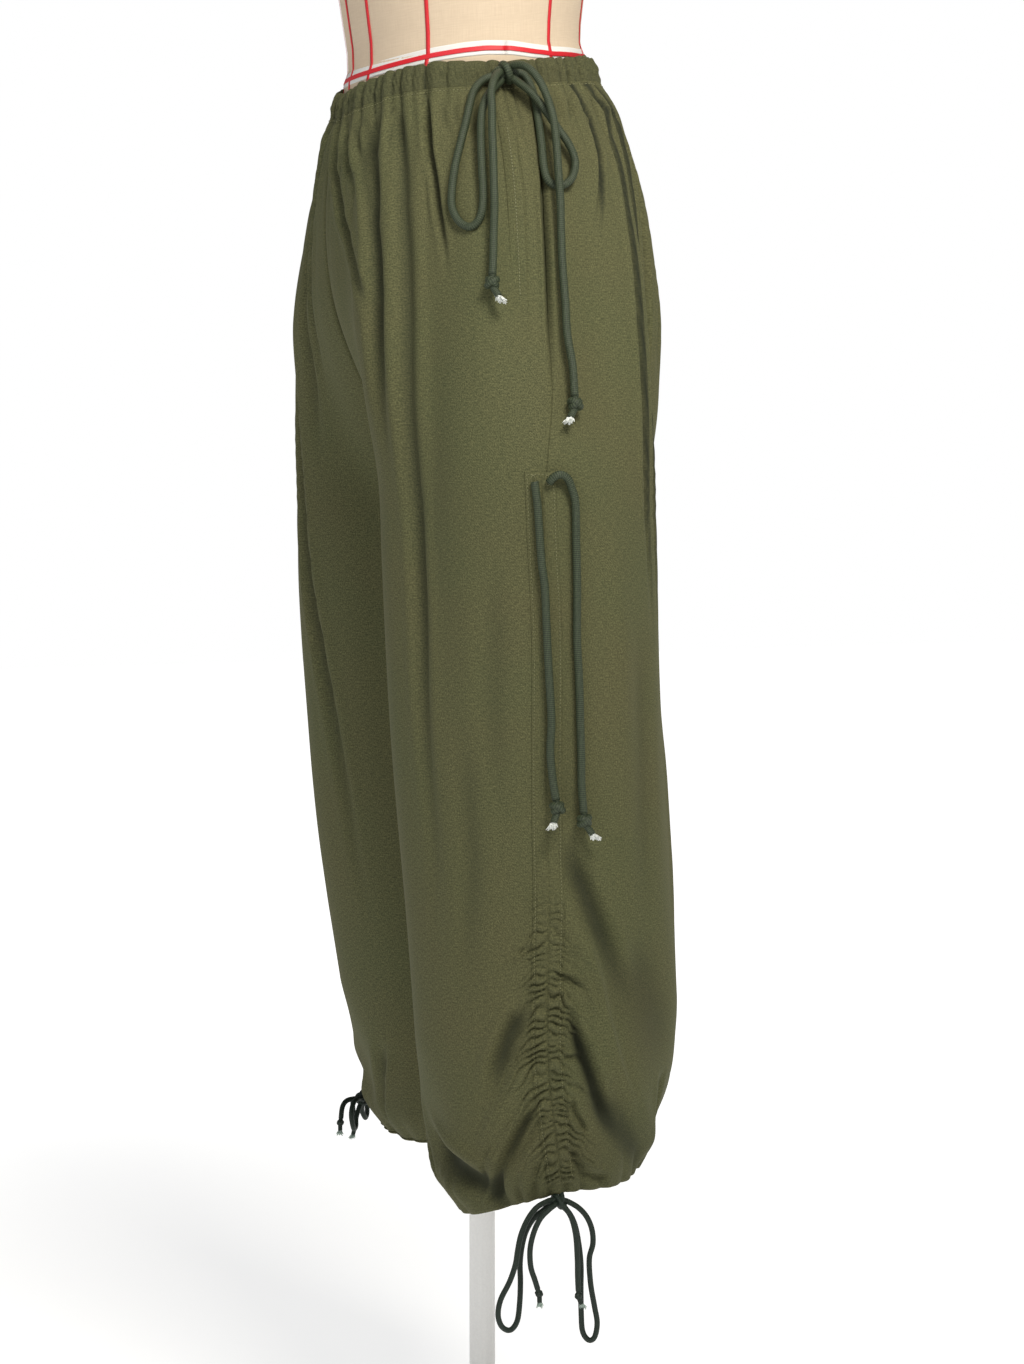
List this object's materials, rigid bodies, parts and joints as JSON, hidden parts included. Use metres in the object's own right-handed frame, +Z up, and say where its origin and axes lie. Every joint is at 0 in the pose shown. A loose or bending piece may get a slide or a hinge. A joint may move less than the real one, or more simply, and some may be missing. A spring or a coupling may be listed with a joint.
{
  "type": "parachute pants on a dress form",
  "caption": "Wide gathered trousers with corded waist, ruched corded side channels and tied hems, worn by a limbless dress form on a round stand.",
  "frame": {"origin": "centre of the stand base's underside", "axes": "+Z up, the wearer faces -Y and the wearer's left side is +X"},
  "size_m": [0.547, 0.4, 1.8323],
  "materials": {
    "olive_cloth": "olive cotton twill, washed and matt",
    "cord": "round braided cord, grey-green with dark gaps",
    "tip": "frayed white cotton core at a cut cord end",
    "linen": "cream linen cover",
    "stand_paint": "pale satin paint"
  },
  "bodies": {
    "root": {"back_left": "olive_cloth", "back_right": "olive_cloth", "base": "stand_paint", "dress_form": "linen", "front_left": "olive_cloth", "front_right": "olive_cloth", "hem_casing_left": "olive_cloth", "hem_casing_right": "olive_cloth", "left_hem_end_back": "cord", "left_hem_end_back_knot": "cord", "left_hem_end_back_tip": "tip", "left_hem_end_front": "cord", "left_hem_end_front_knot": "cord", "left_hem_end_front_tip": "tip", "left_hem_knot": "cord", "left_hem_loop_back": "cord", "left_hem_loop_front": "cord", "left_side_end_back": "cord", "left_side_end_back_knot": "cord", "left_side_end_back_tip": "tip", "left_side_end_front": "cord", "left_side_end_front_knot": "cord", "left_side_end_front_tip": "tip", "neck_cap": "stand_paint", "pocket_edge_left": "olive_cloth", "pocket_edge_right": "olive_cloth", "pole": "stand_paint", "right_hem_end_back": "cord", "right_hem_end_back_knot": "cord", "right_hem_end_back_tip": "tip", "right_hem_end_front": "cord", "right_hem_end_front_knot": "cord", "right_hem_end_front_tip": "tip", "right_hem_knot": "cord", "right_hem_loop_back": "cord", "right_hem_loop_front": "cord", "right_side_end_back": "cord", "right_side_end_back_knot": "cord", "right_side_end_back_tip": "tip", "right_side_end_front": "cord", "right_side_end_front_knot": "cord", "right_side_end_front_tip": "tip", "side_channel_left": "olive_cloth", "side_channel_right": "olive_cloth", "waist_end_back": "cord", "waist_end_back_knot": "cord", "waist_end_back_tip": "tip", "waist_end_front": "cord", "waist_end_front_knot": "cord", "waist_end_front_tip": "tip", "waist_knot": "cord", "waist_loop_back": "cord", "waist_loop_front": "cord", "waistband": "olive_cloth"}
  },
  "joints": []
}
